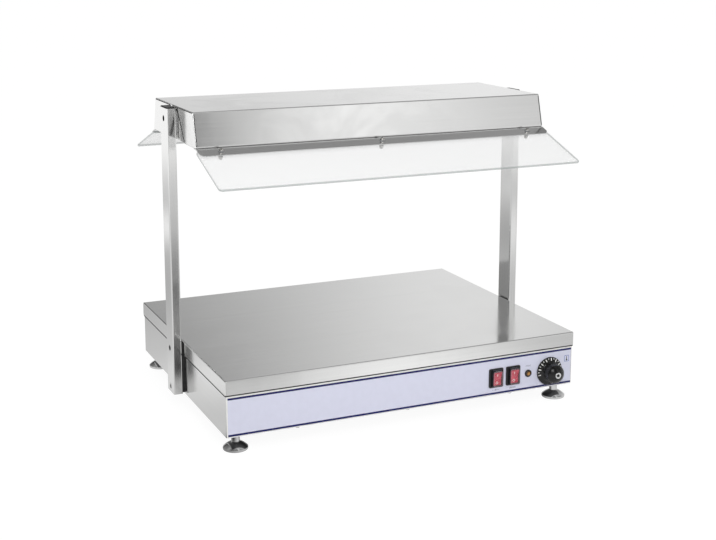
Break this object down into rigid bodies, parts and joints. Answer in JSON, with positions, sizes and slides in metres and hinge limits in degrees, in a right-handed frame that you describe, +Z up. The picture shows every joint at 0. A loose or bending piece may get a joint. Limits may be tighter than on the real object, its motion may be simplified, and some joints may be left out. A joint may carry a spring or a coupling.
{
  "type": "heated food display",
  "caption": "Free-standing catering food warmer: a flat electric hot plate with front controls, side posts and a lamp hood with tilted glass guards front and rear.",
  "frame": {"origin": "on the floor under the middle of the base", "axes": "+Z up, +X to the user's right, the controls face -Y"},
  "size_m": [0.6864, 0.56, 0.534],
  "materials": {
    "stainless": "satin",
    "plate_steel": "satin",
    "rail_steel": "satin",
    "inner_steel": "satin",
    "fastener": "polished",
    "chrome": "polished",
    "overlay_film": "satin",
    "black_plastic": "satin",
    "black_rubber": "matte",
    "grey_plastic": "satin",
    "red_rocker": "gloss",
    "clear_boot": "gloss",
    "amber_lens": "gloss",
    "guard_glass": "polished",
    "quartz": "polished",
    "white_ceramic": "satin",
    "reflector": "polished",
    "element_steel": "satin",
    "copper": "satin",
    "mineral_wool": "matte",
    "cable_sheath": "matte"
  },
  "bodies": {
    "warmer": {"base_housing": "stainless", "bottom_plate": "inner_steel", "bottom_screws": "fastener", "hot_plate": "plate_steel", "front_overlay": "overlay_film", "heating_element": "element_steel", "element_straps": "inner_steel", "insulation_tray": "inner_steel", "insulation_board": "mineral_wool", "thermostat_body": "grey_plastic", "thermostat_bulb": "copper", "thermostat_capillary": "copper", "light_switch_housing": "black_plastic", "light_switch_boot": "clear_boot", "heat_switch_housing": "black_plastic", "heat_switch_boot": "clear_boot", "pilot_bezel": "black_plastic", "pilot_lens": "amber_lens", "cable_gland": "black_plastic", "gland_locknut": "black_plastic", "terminal_block": "white_ceramic", "foot_nuts": "fastener", "left_post": "stainless", "right_post": "stainless", "left_post_cap": "grey_plastic", "right_post_cap": "grey_plastic", "left_base_spacer": "black_rubber", "right_base_spacer": "black_rubber", "hood_spacers": "black_rubber", "post_bolts": "fastener", "post_nuts": "fastener", "hood_shell": "stainless", "left_hood_end": "stainless", "right_hood_end": "stainless", "reflector": "reflector", "lamp_holders": "white_ceramic", "front_heat_lamp": "quartz", "rear_heat_lamp": "quartz", "hood_terminal": "white_ceramic", "lamp_cable": "cable_sheath", "front_guard_rail": "rail_steel", "rear_guard_rail": "rail_steel", "front_guard_glass": "guard_glass", "rear_guard_glass": "guard_glass", "front_guard_screws": "fastener", "rear_guard_screws": "fastener", "front_guard_washers": "fastener", "rear_guard_washers": "fastener", "front_guard_nuts": "fastener", "rear_guard_nuts": "fastener", "rail_rivets": "fastener"},
    "light_rocker": {"light_rocker": "red_rocker"},
    "heat_rocker": {"heat_rocker": "red_rocker"},
    "control_knob": {"control_knob": "black_plastic", "knob_insert": "chrome", "thermostat_shaft": "inner_steel"},
    "foot_front_left": {"foot_front_left": "chrome"},
    "foot_front_right": {"foot_front_right": "chrome"},
    "foot_rear_left": {"foot_rear_left": "chrome"},
    "foot_rear_right": {"foot_rear_right": "chrome"}
  },
  "joints": [
    {"name": "light_tilt", "type": "hinge", "parent": "warmer", "child": "light_rocker", "pos_m": [0.1674, -0.2477, 0.0605], "axis": [-1, 0, 0], "range_deg": [0, 16]},
    {"name": "heat_tilt", "type": "hinge", "parent": "warmer", "child": "heat_rocker", "pos_m": [0.2014, -0.2477, 0.0605], "axis": [-1, 0, 0], "range_deg": [0, 16]},
    {"name": "knob_turn", "type": "hinge", "parent": "warmer", "child": "control_knob", "pos_m": [0.2756, -0.2487, 0.0584], "axis": [0, 1, 0], "range_deg": [0, 270]},
    {"name": "foot_front_left_height", "type": "slide", "parent": "warmer", "child": "foot_front_left", "axis": [0, 0, -1], "range_m": [0, 0.012]},
    {"name": "foot_front_right_height", "type": "slide", "parent": "warmer", "child": "foot_front_right", "axis": [0, 0, -1], "range_m": [0, 0.012]},
    {"name": "foot_rear_left_height", "type": "slide", "parent": "warmer", "child": "foot_rear_left", "axis": [0, 0, -1], "range_m": [0, 0.012]},
    {"name": "foot_rear_right_height", "type": "slide", "parent": "warmer", "child": "foot_rear_right", "axis": [0, 0, -1], "range_m": [0, 0.012]}
  ]
}
